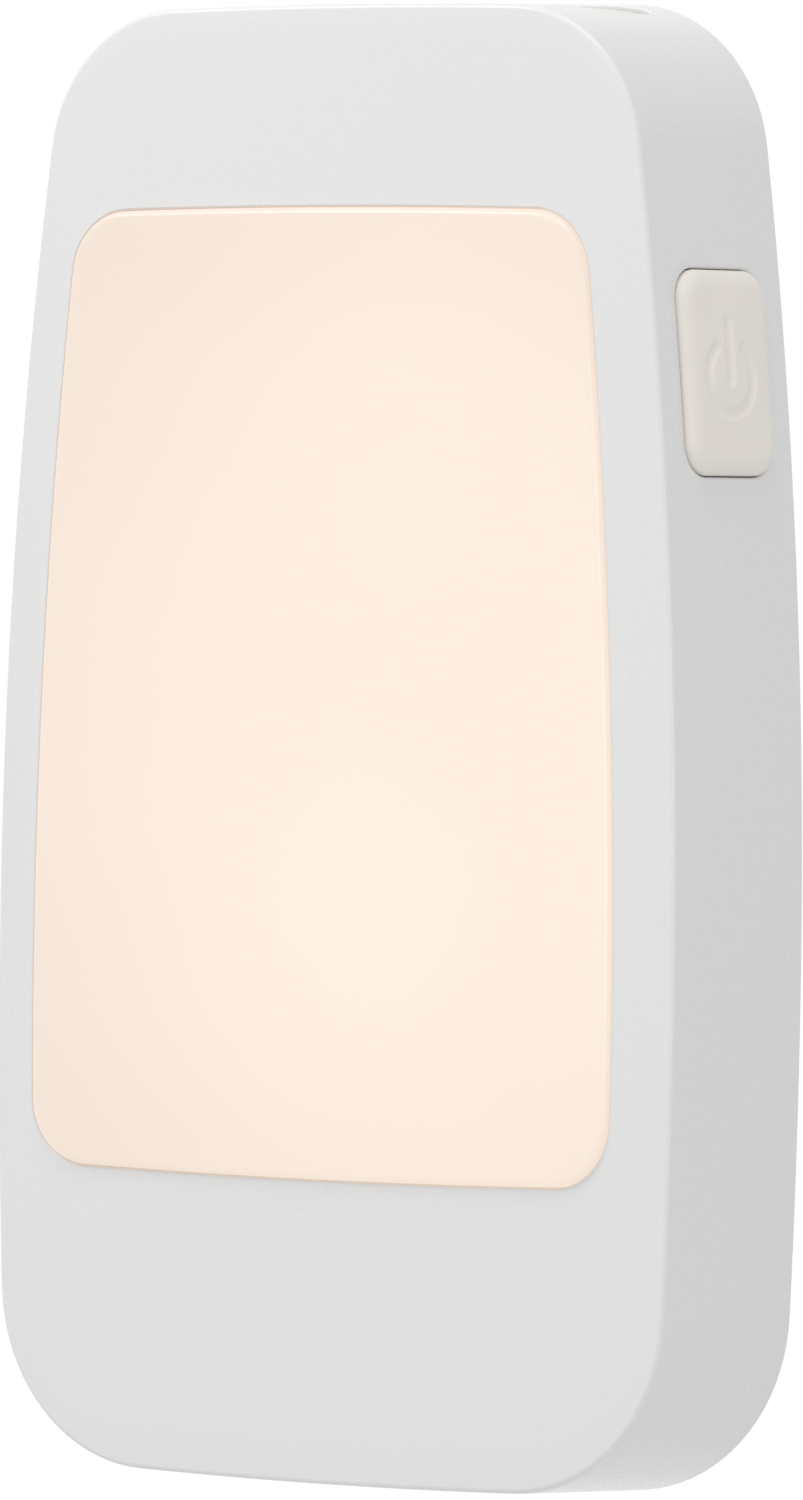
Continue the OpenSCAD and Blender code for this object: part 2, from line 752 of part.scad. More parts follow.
module flashlight_reflector() {
    color([0.8, 0.8, 0.82]) translate([0, torch_y, 0]) difference() {
        translate([0, 0, reflector_bottom]) linear_extrude(torch_reflector_h - seat_gap)
            square([torch_block_w, torch_block_d], center = true);
        hull() {
            translate([0, 0, reflector_top]) linear_extrude(eps)
                square([torch_block_w - 2 * reflector_wall, torch_block_d - 2 * reflector_wall],
                    center = true);
            translate([0, 0, reflector_bottom + led_t]) linear_extrude(eps)
                square([throat_w, throat_d], center = true);
        }
        translate([0, 0, reflector_bottom - cut]) linear_extrude(led_t + cut * 2)
            square(led_side + 2 * bay_gap, center = true);
    }
}

module flashlight_board() {
    color([0.93, 0.94, 0.92]) translate([0, torch_y, torch_board_bottom])
        linear_extrude(led_board_t - seat_gap) square([torch_block_w, torch_block_d], center = true);
}

module flashlight_led() {
    color([1, 0.92, 0.6]) translate([0, torch_y, reflector_bottom - seat_gap]) {
        linear_extrude(led_t) square(led_side, center = true);
        translate([0, 0, led_t - eps]) cylinder(h = phosphor_t + eps, r = phosphor_r);
    }
}

module flashlight_wires() {
    color([0.75, 0.1, 0.1]) for (x = [-torch_lead_x, torch_lead_x])
        lead(x, y_board - lead_d / 2, lead_d / 2, board_top - lead_lap, torch_board_bottom);
}

// ---- Battery ----

module cell(i) {
    x = (i - 2) * cell_pitch;
    color([0.2, 0.45, 0.3]) {
        lead(x, cell_y, cell_d / 2, cells_bottom, cells_top - cell_nub_t);
        lead(x, cell_y, cell_d / 4, cells_top - cell_nub_t - eps, cells_top);
    }
}

module battery_cell_1() cell(1);
module battery_cell_2() cell(2);
module battery_cell_3() cell(3);

// Nickel strips: two ends with a lead, and two bridges between neighbours
module battery_tabs() {
    color([0.75, 0.75, 0.72]) {
        tab_strip(-cell_pitch, -cell_pitch, cells_top);
        tab_strip(-cell_pitch, 0, cells_bottom - tab_strip_t);
        tab_strip(0, cell_pitch, cells_top);
        tab_strip(cell_pitch, cell_pitch, cells_bottom - tab_strip_t);
    }
}

module tab_strip(x0, x1, z) {
    block([x0 - tab_strip_w / 2, cell_y - tab_strip_w / 2, z],
        [x1 - x0 + tab_strip_w, tab_strip_w, tab_strip_t]);
}

module battery_pad() {
    color([0.2, 0.2, 0.21]) block([-pad_w / 2, y_front_in + pad_gap, cells_bottom + pad_inset],
        [pad_w, cell_y - cell_d / 2 - pad_gap * 2 - y_front_in, cell_l - pad_inset * 2]);
}

module battery_wire_red() {
    color([0.75, 0.1, 0.1]) lead(-cell_pitch, y_board - lead_d / 2, lead_d / 2,
        cells_top + tab_strip_t, board_bottom + lead_lap);
}

// The black lead runs up beside the last cell from the tab at its foot
module battery_wire_black() {
    color([0.12, 0.12, 0.12]) lead(cell_pitch + cell_d / 2 - lead_d, y_board - lead_d / 2,
        lead_d / 2, cells_top + tab_strip_t, board_bottom + lead_lap);
}

// ---- Folding plug ----

module plug_cradle() {
    z0 = bay_bottom - cradle_wall;
    z1 = bay_top + cradle_wall;
    color([0.84, 0.84, 0.83]) difference() {
        union() {
            block([-bay_x - cradle_wall, y_cradle_back, z0],
                [(bay_x + cradle_wall) * 2, y_cover_in - seat_gap - y_cradle_back, z1 - z0]);
            block([-cheek_x, y_cradle_back, -barrel_r], [cheek_x * 2,
                y_cover_in - seat_gap - y_cradle_back, barrel_r * 2]);
            for (z = [z0 - tab_h, z1 - eps]) block([-cradle_screw_x - tab_h / 2,
                y_cover_in - seat_gap - tab_t, z], [cradle_screw_x * 2 + tab_h, tab_t, tab_h + eps]);
        }
        plate(y_bay_floor, cut) bay_window();
        trunnion_slot();
        for (x = [-1, 1]) block([x * blade_pitch / 2 - contact_w / 2 - bay_gap, y_cradle_back - cut,
            -blade_w / 4], [contact_w + 2 * bay_gap, y_bay_floor - y_cradle_back + cut * 2,
                z1 + cut + blade_w / 4]);
        for (p = cradle_screw_at) rod(p[0], p[1], small_screw_d / 2 + screw_gap,
            y_cover_in - tab_t - cut, y_cover_in + cut);
    }
}

// Round seat for the trunnions, open towards the rear cover
module trunnion_slot() {
    r = trunnion_r + trunnion_gap;
    translate([-cheek_x - cut, barrel_y, 0]) rotate([0, 90, 0])
        cylinder(h = (cheek_x + cut) * 2, r = r);
    block([-cheek_x - cut, barrel_y, -r], [(cheek_x + cut) * 2, -barrel_y, r * 2]);
}

module cradle_screws() {
    color([0.7, 0.7, 0.72]) for (p = cradle_screw_at)
        screw(p[0], p[1], y_cover_in - seat_gap - tab_t - small_head_t, small_head_d / 2,
            small_head_t, small_screw_d / 2, tab_t, -1);
}

module plug_carrier() {
    l = barrel_half_l;
    color([0.84, 0.84, 0.83]) difference() {
        union() {
            translate([-l, barrel_y, 0]) rotate([0, 90, 0]) cylinder(h = l * 2, r = barrel_r);
            translate([-cheek_x + bay_gap, barrel_y, 0]) rotate([0, 90, 0])
                cylinder(h = (cheek_x - bay_gap) * 2, r = trunnion_r);
        }
        for (s = [-1, 1]) blade_blank(s, blade_l, cut);
        for (a = [0, 90]) translate([0, barrel_y, 0]) rotate([a, 0, 0])
            block([-detent_w / 2 - bay_gap, -barrel_r, barrel_r - detent_flat],
                [detent_w + bay_gap * 2, barrel_r * 2, cut]);
    }
}

// The blade's flat form without its hole, which the barrel is moulded round
module blade_blank(s, l, tail_grow) {
    x = s * blade_pitch / 2 - blade_t / 2;
    tip = l - barrel_y;
    shoulder = tip - blade_chamfer;
    tail = -tail_reach - tail_grow;
    half_w = blade_w / 2;
    translate([x, barrel_y, 0]) rotate([90, 0, 90]) linear_extrude(blade_t) polygon([
        [-neck_l, -half_w], [shoulder, -half_w], [tip, blade_chamfer - half_w],
        [tip, half_w - blade_chamfer], [shoulder, half_w], [-neck_l, half_w],
        [-neck_l, tail_w / 2], [tail, tail_w / 2], [tail, -tail_w / 2], [-neck_l, -tail_w / 2]]);
}

module blade(s) {
    color([0.83, 0.8, 0.7]) difference() {
        blade_blank(s, blade_l, 0);
        translate([s * blade_pitch / 2 - blade_t, blade_l - blade_hole_from_tip, 0]) rotate([0, 90, 0])
            cylinder(h = blade_t * 2, r = blade_hole_d / 2);
    }
}

module blade_left() blade(-1);
module blade_right() blade(1);

// Leaf that meets the blade's tail when the plug is out, and runs to the main board
module contact(s) {
    x = s * blade_pitch / 2 - contact_w / 2;
    y = barrel_y - barrel_r - bay_gap;
    z_riser = cutout_top + 1;
    color([0.8, 0.55, 0.35]) {
        block([x, y - contact_t, -tail_w / 2], [contact_w, contact_t, z_riser + tail_w / 2]);
        block([x, y - contact_t, z_riser - contact_t], [contact_w, y_board - y + contact_t, contact_t]);
        block([x, y_board - contact_t, z_riser - contact_t], [contact_w, contact_t, contact_foot]);
    }
}

module contact_left() contact(-1);
module contact_right() contact(1);

// Leaf that rests over the barrel's flats and holds the plug out or folded
module detent_spring() {
    color([0.75, 0.75, 0.77]) block([-detent_w / 2, y_bay_floor + seat_gap, barrel_r + bay_gap],
        [detent_w, y_cover_in - seat_gap * 2 - y_bay_floor, detent_t]);
}

front_shell();
rear_cover();
cover_screws();
diffuser();
reflector_tray();
led_board();
night_led_upper();
night_led_lower();
light_sensor();
main_board();
board_screws();
mains_capacitor();
smoothing_capacitor();
rectifier();
controller_chip();
inductor();
fuse_resistor();
led_header();
tact_switch();
switch_plunger();
power_button();
flashlight_lens();
flashlight_reflector();
flashlight_led();
flashlight_board();
flashlight_wires();
battery_cell_1();
battery_cell_2();
battery_cell_3();
battery_tabs();
battery_pad();
battery_wire_red();
battery_wire_black();
plug_cradle();
cradle_screws();
plug_carrier();
blade_left();
blade_right();
contact_left();
contact_right();
detent_spring();
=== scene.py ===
import json
import math
from collections import namedtuple

import bmesh
import bpy
from mathutils import Matrix, Vector

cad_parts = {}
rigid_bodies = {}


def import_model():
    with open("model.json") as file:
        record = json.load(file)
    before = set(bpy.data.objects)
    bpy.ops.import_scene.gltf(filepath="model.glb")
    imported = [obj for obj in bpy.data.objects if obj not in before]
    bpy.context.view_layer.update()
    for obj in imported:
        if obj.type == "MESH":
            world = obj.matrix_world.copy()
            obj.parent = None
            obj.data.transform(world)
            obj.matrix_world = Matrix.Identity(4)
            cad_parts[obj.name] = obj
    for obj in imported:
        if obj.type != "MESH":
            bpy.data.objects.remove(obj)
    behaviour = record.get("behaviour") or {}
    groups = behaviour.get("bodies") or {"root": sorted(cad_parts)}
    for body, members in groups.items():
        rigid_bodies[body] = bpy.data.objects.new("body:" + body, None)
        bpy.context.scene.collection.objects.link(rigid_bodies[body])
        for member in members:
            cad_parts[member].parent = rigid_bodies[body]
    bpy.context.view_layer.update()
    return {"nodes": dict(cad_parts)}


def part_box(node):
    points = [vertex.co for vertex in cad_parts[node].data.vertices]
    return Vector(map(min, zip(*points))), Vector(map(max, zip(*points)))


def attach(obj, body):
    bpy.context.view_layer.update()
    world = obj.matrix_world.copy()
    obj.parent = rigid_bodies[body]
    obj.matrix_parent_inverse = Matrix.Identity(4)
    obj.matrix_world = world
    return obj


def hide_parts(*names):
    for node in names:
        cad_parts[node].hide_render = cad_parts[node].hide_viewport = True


for leftover in list(bpy.data.objects):
    bpy.data.objects.remove(leftover)
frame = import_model()

# ---- Camera ----
# The night light is seen through a long lens, from its right side and a little from above,
# with the lens turned a hair off level. The numbers come from fitting its outline, in metres.
camera_azimuth = math.radians(35.82)
camera_elevation = math.radians(1.046)
camera_roll = math.radians(0.756)
camera_distance = 0.94
camera_aside = 0.00049
camera_below = 0.00043
camera_focal_px = 12700
photo_height_px = 1500
film_mm = 36

shell_low, shell_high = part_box("front_shell")
middle = (shell_low + shell_high) / 2
sight = Vector((
    -math.sin(camera_azimuth) * math.cos(camera_elevation),
    math.cos(camera_azimuth) * math.cos(camera_elevation),
    -math.sin(camera_elevation),
))
level_right = Vector((math.cos(camera_azimuth), math.sin(camera_azimuth), 0))
level_up = level_right.cross(sight)
camera_right = level_right * math.cos(camera_roll) + level_up * math.sin(camera_roll)
camera_up = level_up * math.cos(camera_roll) - level_right * math.sin(camera_roll)

camera_data = bpy.data.cameras.new("camera")
camera_data.lens = film_mm * camera_focal_px / photo_height_px
camera_data.sensor_width = film_mm
camera = bpy.data.objects.new("camera", camera_data)
camera_turn = Matrix((camera_right, camera_up, -sight)).transposed().to_4x4()
camera_place = (
    middle + camera_right * camera_aside - camera_up * camera_below - sight * camera_distance
)
camera.matrix_world = Matrix.Translation(camera_place) @ camera_turn
bpy.context.scene.collection.objects.link(camera)
bpy.context.scene.camera = camera


# ---- Front shell ----
# The white housing is one fine matt ABS moulding, open at the back. Its sides lean in a little
# towards the front for the mould, and its front edge is rounded.
MM = 0.001
housing_w = (shell_high.x - shell_low.x) / MM
housing_t = (shell_high.y - shell_low.y) / MM
housing_top = shell_high.z / MM
housing_bottom = shell_low.z / MM
housing_middle = (housing_top + housing_bottom) / 2
housing_wall = 2
housing_draft = 0.55
housing_edge_r = 0.4
rim_bevel = 0.15
widest_below_middle = 14.5

# a soft outline has bowed sides that are widest at one level, a crowned top and bottom, and round
# corners, and so six arcs make up its right half
SoftOutline = namedtuple(
    "SoftOutline",
    "half_w widest_z upper_side_r lower_side_r top bottom crown_r upper_corner_r lower_corner_r",
)
ArcCentres = namedtuple(
    "ArcCentres", "upper_crown upper_corner upper_side lower_side lower_corner lower_crown",
)
housing_outline = SoftOutline(
    half_w=housing_w / 2,
    widest_z=housing_middle - widest_below_middle,
    upper_side_r=435,
    lower_side_r=615,
    top=housing_top,
    bottom=housing_bottom,
    crown_r=600,
    upper_corner_r=12.2,
    lower_corner_r=14.1,
)
crown_steps = 8
corner_steps = 20
upper_side_steps = 48
lower_side_steps = 30
seam_gap = 0.01


def circles_meet(one, one_r, other, other_r):
    """The crossing of two circles, given by centre and radius, that lies further to the right."""
    apart = (other - one).length
    along = (one_r * one_r - other_r * other_r + apart * apart) / (2 * apart)
    aside = math.sqrt(one_r * one_r - along * along)
    towards = (other - one) / apart
    across = Vector((-towards.y, towards.x))
    crossings = [one + towards * along + across * side * aside for side in (-1, 1)]
    return max(crossings, key=lambda crossing: crossing.x)


def arc_centres(outline):
    """Where the arcs of the outline's right half are centred, so that each runs into the next."""
    upper_side = Vector((outline.half_w - outline.upper_side_r, outline.widest_z))
    lower_side = Vector((outline.half_w - outline.lower_side_r, outline.widest_z))
    upper_crown = Vector((0, outline.top - outline.crown_r))
    lower_crown = Vector((0, outline.bottom + outline.crown_r))
    upper_corner = circles_meet(
        upper_side, outline.upper_side_r - outline.upper_corner_r,
        upper_crown, outline.crown_r - outline.upper_corner_r,
    )
    lower_corner = circles_meet(
        lower_side, outline.lower_side_r - outline.lower_corner_r,
        lower_crown, outline.crown_r - outline.lower_corner_r,
    )
    return ArcCentres(upper_crown, upper_corner, upper_side, lower_side, lower_corner, lower_crown)


def direction(start, end):
    """The angle at which the end is seen from the start."""
    return math.atan2(end.y - start.y, end.x - start.x)


def outline_loop(bm, outline, grow, y, shift=0):
    """Edges of a soft outline at depth y: its arcs are spun one after another, then mirrored."""
    centres = arc_centres(outline)
    crown_ends = direction(centres.upper_crown, centres.upper_corner)
    side_starts = direction(centres.upper_side, centres.upper_corner)
    side_ends = direction(centres.lower_side, centres.lower_corner)
    crown_starts = direction(centres.lower_crown, centres.lower_corner)
    arcs = [
        (centres.upper_crown, math.pi / 2, crown_ends, crown_steps),
        (centres.upper_corner, crown_ends, side_starts, corner_steps),
        (centres.upper_side, side_starts, 0, upper_side_steps),
        (centres.lower_side, 0, side_ends, lower_side_steps),
        (centres.lower_corner, side_ends, crown_starts, corner_steps),
        (centres.lower_crown, crown_starts, -math.pi / 2, crown_steps),
    ]
    before = set(bm.edges)
    tip = bmesh.ops.create_vert(bm, co=(0, y, outline.top + grow))["vert"][0]
    for centre, start, end, steps in arcs:
        spun = bmesh.ops.spin(
            bm, geom=[tip], cent=(centre.x, y, centre.y), axis=(0, 1, 0),
            angle=start - end, steps=steps, use_merge=False, use_duplicate=False,
        )
        tip = next(g for g in spun["geom_last"] if isinstance(g, bmesh.types.BMVert))
    half = [e for e in bm.edges if e not in before]
    points = list({v for e in half for v in e.verts})
    bmesh.ops.mirror(bm, geom=half + points, axis="X", merge_dist=seam_gap)
    loop = [e for e in bm.edges if e not in before]
    points = list({v for e in loop for v in e.verts})
    bmesh.ops.translate(bm, verts=points, vec=(shift, 0, 0))
    return loop


bridging_gap = 100


def walls_between(bm, loops, along):
    """Quads from each loop to the next, which stands well off meanwhile, so that none are crossed."""
    apart = along * bridging_gap
    for one, other in zip(loops, loops[1:]):
        points = list({v for e in other for v in e.verts})
        bmesh.ops.translate(bm, verts=points, vec=apart)
        bmesh.ops.bridge_loops(bm, edges=one + other)
        bmesh.ops.translate(bm, verts=points, vec=-apart)


moulded_sharp = math.radians(30)


def mesh_from(bm, name):
    """The finished form as a mesh."""
    mesh = bpy.data.meshes.new(name)
    bm.to_mesh(mesh)
    bm.free()
    return mesh


def shade_smooth(mesh, sharp):
    """Smooth faces, but for the edges that turn by more than the angle."""
    mesh.polygons.foreach_set("use_smooth", [True] * len(mesh.polygons))
    mesh.set_sharp_from_angle(angle=sharp)


def piece_from(bm, node, body, sharp=moulded_sharp):
    """Turns millimetres into metres and makes the object that takes a CAD node's place."""
    bmesh.ops.scale(bm, verts=bm.verts, vec=(MM, MM, MM))
    name = node + "_dressed"
    mesh = mesh_from(bm, name)
    shade_smooth(mesh, sharp)
    piece = bpy.data.objects.new(name, mesh)
    bpy.context.scene.collection.objects.link(piece)
    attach(piece, body)
    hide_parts(node)
    return piece


diffuser_low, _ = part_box("diffuser")
diffuser_proud = -diffuser_low.y / MM - housing_t
diffuser_shift = -1
window_margin_side = 5
window_margin_top = 15.4
window_margin_bottom = 22.9
window_widest_below_middle = 18
window_side_r = 490
window_corner_r = 5
window_bevel = 0.12
window_outline = SoftOutline(
    half_w=housing_w / 2 - window_margin_side,
    widest_z=housing_middle - window_widest_below_middle,
    upper_side_r=window_side_r,
    lower_side_r=window_side_r,
    top=housing_top - window_margin_top,
    bottom=housing_bottom + window_margin_bottom,
    crown_r=800,
    upper_corner_r=window_corner_r,
    lower_corner_r=window_corner_r,
)
front_y = -housing_t
front_in_y = front_y + housing_wall
draft_steps = 10
face_rings = 5
rounding_step = 15
quarter_turn = [math.radians(degrees) for degrees in range(0, 90 + 1, rounding_step)]
into_wall = Vector((0, 1, 0))

shell = bmesh.new()
shell_loops = [outline_loop(shell, housing_outline, -rim_bevel, 0)]
for step in range(draft_steps + 1):
    share = step / draft_steps
    depth = -rim_bevel + share * (front_y + housing_edge_r + rim_bevel)
    shell_loops.append(outline_loop(shell, housing_outline, -housing_draft * share, depth))
for lean in reversed(quarter_turn[:-1]):
    shell_loops.append(outline_loop(
        shell, housing_outline, -housing_draft - housing_edge_r * (1 - math.sin(lean)),
        front_y + housing_edge_r * (1 - math.cos(lean)),
    ))
edge_loop = shell_loops[-1]
window_loop = outline_loop(shell, window_outline, window_bevel, front_y, diffuser_shift)
shell_loops += [
    window_loop,
    outline_loop(shell, window_outline, 0, front_y + window_bevel, diffuser_shift),
    outline_loop(shell, window_outline, 0, front_in_y, diffuser_shift),
    outline_loop(shell, housing_outline, -housing_wall - housing_draft, front_in_y),
    outline_loop(shell, housing_outline, -housing_wall, -rim_bevel),
    outline_loop(shell, housing_outline, -housing_wall + rim_bevel, 0),
]
walls_between(shell, shell_loops + [shell_loops[0]], into_wall)
edge_points = {v for e in edge_loop for v in e.verts}
window_points = {v for e in window_loop for v in e.verts}
spokes = [
    e for e in shell.edges
    if any(v in edge_points for v in e.verts) and any(v in window_points for v in e.verts)
]
bmesh.ops.subdivide_edges(shell, edges=spokes, cuts=face_rings, use_grid_fill=True)
bmesh.ops.recalc_face_normals(shell, faces=shell.faces)
front_shell = piece_from(shell, "front_shell", "housing")


prism_corner_steps = 10
prism_side_cuts = 15
level_tolerance = 1e-6
upwards = Vector((0, 0, 1))


def rounded_prism(w, h, r, levels):
    """A prism with round corners that rises along +Z through (height, growth) levels."""
    bm = bmesh.new()
    rings = []
    ends = (levels[0], levels[-1])
    for height, grow in levels:
        made = bmesh.ops.create_grid(bm, x_segments=1, y_segments=1, size=0.5)["verts"]
        bmesh.ops.scale(bm, verts=made, vec=(w + 2 * grow, h + 2 * grow, 1))
        bmesh.ops.translate(bm, verts=made, vec=(0, 0, height))
        rounded = bmesh.ops.bevel(
            bm, geom=made, offset=r + grow, segments=prism_corner_steps, profile=0.5,
            affect="VERTICES", material=-1,
        )
        rim = {e for v in rounded["verts"] for e in v.link_edges}
        straight = [e for e in rim if e.calc_length() > r]
        bmesh.ops.subdivide_edges(bm, edges=straight, cuts=prism_side_cuts)
        level_faces = [
            f for f in bm.faces if all(abs(v.co.z - height) < level_tolerance for v in f.verts)
        ]
        rings.append(list({e for f in level_faces for e in f.edges}))
        if (height, grow) not in ends:
            bmesh.ops.delete(bm, geom=level_faces, context="FACES_ONLY")
    walls_between(bm, rings, upwards)
    bmesh.ops.recalc_face_normals(bm, faces=bm.faces)
    return bm


weld_gap = 0.001 * MM


def slivers_welded(bm):
    """Merges points that all but touch, with the faces that collapse between them."""
    bmesh.ops.remove_doubles(bm, verts=bm.verts, dist=weld_gap)
    bmesh.ops.dissolve_degenerate(bm, edges=bm.edges, dist=weld_gap)


def cut_out(piece, tools):
    """Takes the tools, each of them a form and its place, away from the piece in one cut."""
    joined = bmesh.new()
    for tool, place in tools:
        bmesh.ops.transform(tool, matrix=Matrix.Scale(MM, 4) @ place, verts=tool.verts)
        joined.from_mesh(mesh_from(tool, "tool"))
    cutter = bpy.data.objects.new("tools", mesh_from(joined, "tools"))
    bpy.context.scene.collection.objects.link(cutter)
    cut = piece.modifiers.new("cut", "BOOLEAN")
    cut.operation = "DIFFERENCE"
    cut.solver = "EXACT"
    cut.object = cutter
    solid = piece.evaluated_get(bpy.context.evaluated_depsgraph_get())
    welded = bmesh.new()
    welded.from_mesh(solid.to_mesh())
    piece.modifiers.clear()
    bpy.data.objects.remove(cutter)
    slivers_welded(welded)
    piece.data = mesh_from(welded, piece.name)
    shade_smooth(piece.data, moulded_sharp)


# the opening for the button, drawn flat and then stood in the side, where its +Z points out of
# the leaning wall and its +Y up along it
button_w = 10.4
button_h = 15
button_corner_r = 2.3
button_gap = 0.1
button_above_middle = 27.6
button_behind_front = 8.1
opening_r = 0.3
side_r = housing_outline.upper_side_r
button_z = housing_middle + button_above_middle
button_y = front_y + button_behind_front
side_tilt = math.asin((button_z - housing_outline.widest_z) / side_r)
side_lean = math.atan(housing_draft / housing_t)
side_x = (
    housing_w / 2 - side_r * (1 - math.cos(side_tilt)) + housing_draft * button_y / housing_t
)
side_frame = Matrix.Translation((side_x, button_y, button_z)) @ Matrix.Rotation(-side_tilt, 4, "Y")
out_of_side = Matrix(((0, 0, 1), (1, 0, 0), (0, 1, 0))).to_4x4()
leaning_side = side_frame @ Matrix.Rotation(-side_lean, 4, "Z") @ out_of_side

opening_levels = [(-2 * housing_wall, 0)]
for lean in quarter_turn:
    opening_levels.append((opening_r * (math.sin(lean) - 1), opening_r * (1 - math.cos(lean))))
opening_levels.append((opening_r, opening_r))
button_opening = rounded_prism(
    button_w + 2 * button_gap, button_h + 2 * button_gap, button_corner_r + button_gap,
    opening_levels,
)
for v in button_opening.verts:
    v.co.z -= v.co.y ** 2 / (2 * side_r)

# the torch window in the top
torch_w = 38.6
torch_d = 7.2
torch_corner_r = 1.5
torch_edge_r = 0.15
torch_behind_front = 9.3
torch_y = front_y + torch_behind_front
top_z = housing_top + housing_draft * torch_y / housing_t
torch_place = Matrix.Translation((0, torch_y, top_z)) @ Matrix.Rotation(side_lean, 4, "X")
crown_half_w = arc_centres(housing_outline).upper_corner.x


def arc_drop(radius, aside):
    """How far an arc has sunk at this distance from its highest point."""
    return radius - math.sqrt(radius ** 2 - aside ** 2)


def top_drop(x):
    """How far the top has sunk at x, along its crown and then round its corner."""
    past_crown = max(abs(x) - crown_half_w, 0)
    return (
        arc_drop(housing_outline.crown_r, abs(x) - past_crown)
        + arc_drop(housing_outline.upper_corner_r, past_crown)
    )


torch_opening = rounded_prism(
    torch_w, torch_d, torch_corner_r,
    [(-2 * housing_wall, 0), (-torch_edge_r, 0), (torch_edge_r, 2 * torch_edge_r),
     (housing_wall, 2 * torch_edge_r)],
)
for v in torch_opening.verts:
    v.co.z -= top_drop(v.co.x)
cut_out(front_shell, [(button_opening, leaning_side), (torch_opening, torch_place)])


def add_node(tree, kind, sockets=None, **settings):
    """A shader node with its settings, each of these sockets linked or given a value."""
    made = tree.nodes.new("ShaderNode" + kind)
    for key, value in settings.items():
        setattr(made, key, value)
    for key, value in (sockets or {}).items():
        if isinstance(value, bpy.types.NodeSocket):
            tree.links.new(value, made.inputs[key])
        else:
            made.inputs[key].default_value = value
    return made


def reckon(tree, operation, first, second, **settings):
    """What a Math node makes of two values."""
    return add_node(tree, "Math", {0: first, 1: second}, operation=operation, **settings).outputs[0]


def spread_over(tree, value, least, most):
    """A value of nought to one, laid out between these two."""
    laid = add_node(tree, "MapRange", {"Value": value, "To Min": least, "To Max": most})
    return laid.outputs[0]


def mix_colours(tree, share, first, second):
    """The colour that lies this share of the way from the first to the second."""
    mix = add_node(tree, "Mix", {0: share, 6: first, 7: second}, data_type="RGBA")
    return mix.outputs[2]


def add_group(name, inputs, outputs):
    """An empty shader group: inputs are (name, default) pairs, outputs (name, kind) pairs."""
    tree = bpy.data.node_groups.new(name, "ShaderNodeTree")
    for label, default in inputs:
        kind = "NodeSocketFloat" if isinstance(default, float) else "NodeSocketColor"
        tree.interface.new_socket(label, in_out="INPUT", socket_type=kind).default_value = default
    for label, kind in outputs:
        tree.interface.new_socket(label, in_out="OUTPUT", socket_type="NodeSocket" + kind)
    return tree, tree.nodes.new("NodeGroupInput"), tree.nodes.new("NodeGroupOutput")


def add_material(name):
    """A new material, with its tree and its Principled shader."""
    material = bpy.data.materials.new(name)
    material.use_nodes = True
    return material, material.node_tree, material.node_tree.nodes["Principled BSDF"]


# spark-eroded mould skin: a fine grain, and faint clouds in colour from the resin's flow
clouds_per_metre = 45.0
skin_rough_spread = 0.05
skin, skin_in, skin_out = add_group(
    "moulded_skin",
    [("Colour", (0.8, 0.8, 0.8, 1)), ("Shade", (0.7, 0.7, 0.7, 1)), ("Clouds", 0.1),
     ("Grain", 0.0003), ("Roughness", 0.5)],
    [("Colour", "Color"), ("Roughness", "Float"), ("Height", "Float")],
)
skin_place = add_node(skin, "TexCoord").outputs["Object"]
skin_scale = reckon(skin, "DIVIDE", 1.0, skin_in.outputs["Grain"])
skin_grain = add_node(skin, "TexNoise", {
    "Vector": skin_place, "Scale": skin_scale, "Detail": 2.0, "Roughness": 0.6,
}).outputs["Fac"]
skin_cloud = add_node(skin, "TexNoise", {
    "Vector": skin_place, "Scale": clouds_per_metre, "Detail": 3.0, "Roughness": 0.5,
}).outputs["Fac"]
skin_share = reckon(skin, "MULTIPLY", skin_cloud, skin_in.outputs["Clouds"])
skin_colour = mix_colours(skin, skin_share, skin_in.outputs["Colour"], skin_in.outputs["Shade"])
skin_spread = spread_over(skin, skin_grain, -skin_rough_spread, skin_rough_spread)
skin_rough = reckon(skin, "ADD", skin_spread, skin_in.outputs["Roughness"])
skin.links.new(skin_colour, skin_out.inputs["Colour"])
skin.links.new(skin_rough, skin_out.inputs["Roughness"])
skin.links.new(skin_grain, skin_out.inputs["Height"])


def lay_on(tree, shader, surface, depth):
    """Joins a group's colour, roughness and height to the shader."""
    bump = add_node(tree, "Bump", {"Distance": depth, "Height": surface.outputs["Height"]})
    tree.links.new(surface.outputs["Colour"], shader.inputs["Base Color"])
    tree.links.new(surface.outputs["Roughness"], shader.inputs["Roughness"])
    tree.links.new(bump.outputs["Normal"], shader.inputs["Normal"])


def moulded(name, colour, shade, clouds=0.3, grain=0.0003, depth=0.000004, rough=0.5):
    """Moulded plastic or rubber: a colour with faint clouds, and a fine grain, in metres."""
    material, tree, shader = add_material(name)
    surface = add_node(tree, "Group", node_tree=skin)
    for key, value in (("Colour", (*colour, 1)), ("Shade", (*shade, 1)), ("Clouds", clouds),
                       ("Grain", grain), ("Roughness", rough)):
        surface.inputs[key].default_value = value
    lay_on(tree, shader, surface, depth)
    return material, shader


def dress(names, material):
    """Gives CAD pieces whose shape is right their material."""
    for name in names:
        frame["nodes"][name].material_slots[0].material = material


shell_white = (0.76, 0.76, 0.76)
shell_shade = (0.735, 0.735, 0.735)
shell_plastic, shell_shader = moulded(
    "shell_plastic", shell_white, shell_shade, depth=0.0000012, rough=0.28,
)
shell_shader.inputs["Specular IOR Level"].default_value = 0.3
front_shell.data.materials.append(shell_plastic)


